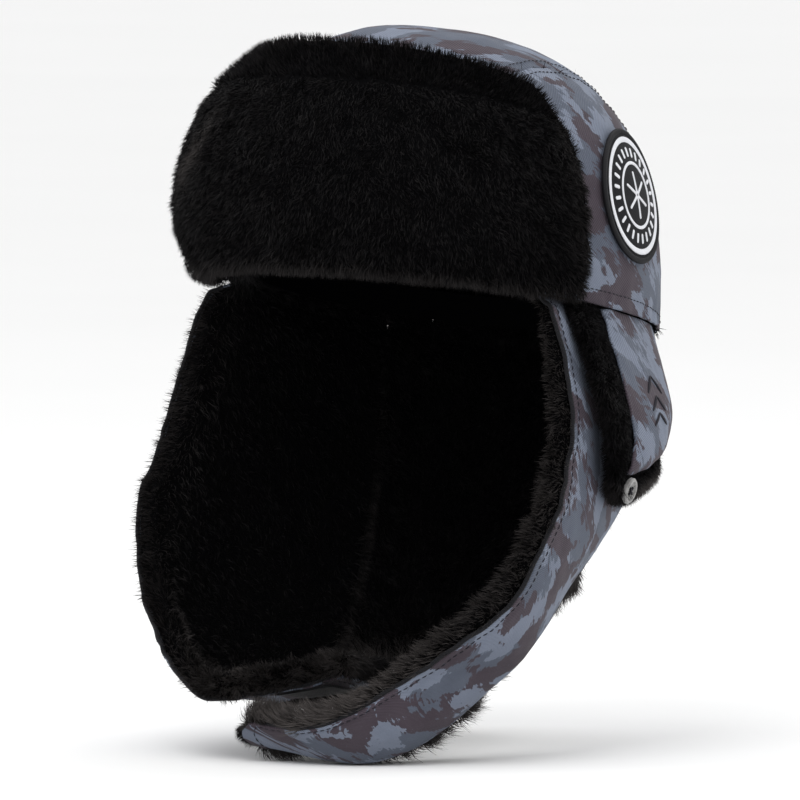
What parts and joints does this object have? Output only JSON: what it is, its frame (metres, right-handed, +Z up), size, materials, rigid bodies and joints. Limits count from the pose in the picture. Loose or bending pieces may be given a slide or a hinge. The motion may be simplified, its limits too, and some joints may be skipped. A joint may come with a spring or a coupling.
{
  "type": "trapper hat",
  "caption": "Trapper hat with a camouflage twill crown, turned-up fur visor, fur-lined ear flaps that meet under the chin, button side flaps and a neck flap.",
  "frame": {"origin": "centre of the head opening, on the crown's hem at ear level", "axes": "+Z up out of the top of the crown, the face opening looks along -Y, +X towards the wearer's left"},
  "size_m": [0.2414, 0.2688, 0.3416],
  "materials": {
    "camo_twill": "printed cotton twill in blue-grey and purple-brown brush strokes",
    "black_fur": "short dense faux fur, soft sheen",
    "black_tape": "woven tape and corded piping",
    "label_satin": "blank satin",
    "patch_black": "embroidered",
    "patch_white": "embroidered",
    "hook_and_loop": "hook and loop pile",
    "button_pearl": "pearly face, dark rim",
    "dark_thread": "sewing thread"
  },
  "bodies": {
    "crown": {"crown_center_panel": "camo_twill", "crown_side_panel_left": "camo_twill", "crown_side_panel_right": "camo_twill", "crown_lining_center": "black_fur", "crown_lining_left": "black_fur", "crown_lining_right": "black_fur", "hem_tape": "black_tape", "inner_label": "label_satin", "patch_base": "patch_black", "patch_border": "patch_black", "patch_outer_ring": "patch_white", "patch_inner_ring": "patch_white", "patch_ticks": "patch_white", "patch_motif": "patch_white"},
    "visor": {"visor_backing": "camo_twill", "visor_fur": "black_fur"},
    "neck_flap": {"neck_flap_outer": "camo_twill", "neck_flap_lining": "black_fur"},
    "left_ear_flap": {"ear_flap_outer_left": "camo_twill", "ear_flap_lining_left": "black_fur", "ear_flap_piping_left": "black_tape", "chin_hook_tape": "hook_and_loop"},
    "right_ear_flap": {"ear_flap_outer_right": "camo_twill", "ear_flap_lining_right": "black_fur", "ear_flap_piping_right": "black_tape", "chin_loop_tape": "hook_and_loop"},
    "left_side_flap": {"side_flap_outer_left": "camo_twill", "side_flap_lining_left": "black_fur", "button_left": "button_pearl", "button_thread_left": "dark_thread", "side_flap_emblem": "dark_thread"},
    "right_side_flap": {"side_flap_outer_right": "camo_twill", "side_flap_lining_right": "black_fur", "button_right": "button_pearl", "button_thread_right": "dark_thread"}
  },
  "joints": [
    {"name": "visor_fold", "type": "hinge", "parent": "crown", "child": "visor", "pos_m": [0, -0.121, 0.0265], "axis": [1, 0, 0], "range_deg": [0, 50]},
    {"name": "left_ear_flap_lift", "type": "hinge", "parent": "crown", "child": "left_ear_flap", "pos_m": [0.1, 0, 0.001], "axis": [0, -0.9799, 0.1993], "range_deg": [0, 115]},
    {"name": "right_ear_flap_lift", "type": "hinge", "parent": "crown", "child": "right_ear_flap", "pos_m": [-0.1, 0, 0.001], "axis": [0, 0.9799, -0.1993], "range_deg": [0, 115]},
    {"name": "left_side_flap_lift", "type": "hinge", "parent": "left_ear_flap", "child": "left_side_flap", "pos_m": [0.1, 0, 0.001], "axis": [0, -0.9799, 0.1993], "range_deg": [0, 40]},
    {"name": "right_side_flap_lift", "type": "hinge", "parent": "right_ear_flap", "child": "right_side_flap", "pos_m": [-0.1, 0, 0.001], "axis": [0, 0.9799, -0.1993], "range_deg": [0, 40]},
    {"name": "neck_flap_lift", "type": "hinge", "parent": "crown", "child": "neck_flap", "pos_m": [0, 0.113, -0.022], "axis": [1, 0, 0], "range_deg": [0, 75]}
  ],
  "couplings": [
    {"joint": "right_ear_flap_lift", "follows": "left_ear_flap_lift", "ratio": 1}
  ]
}
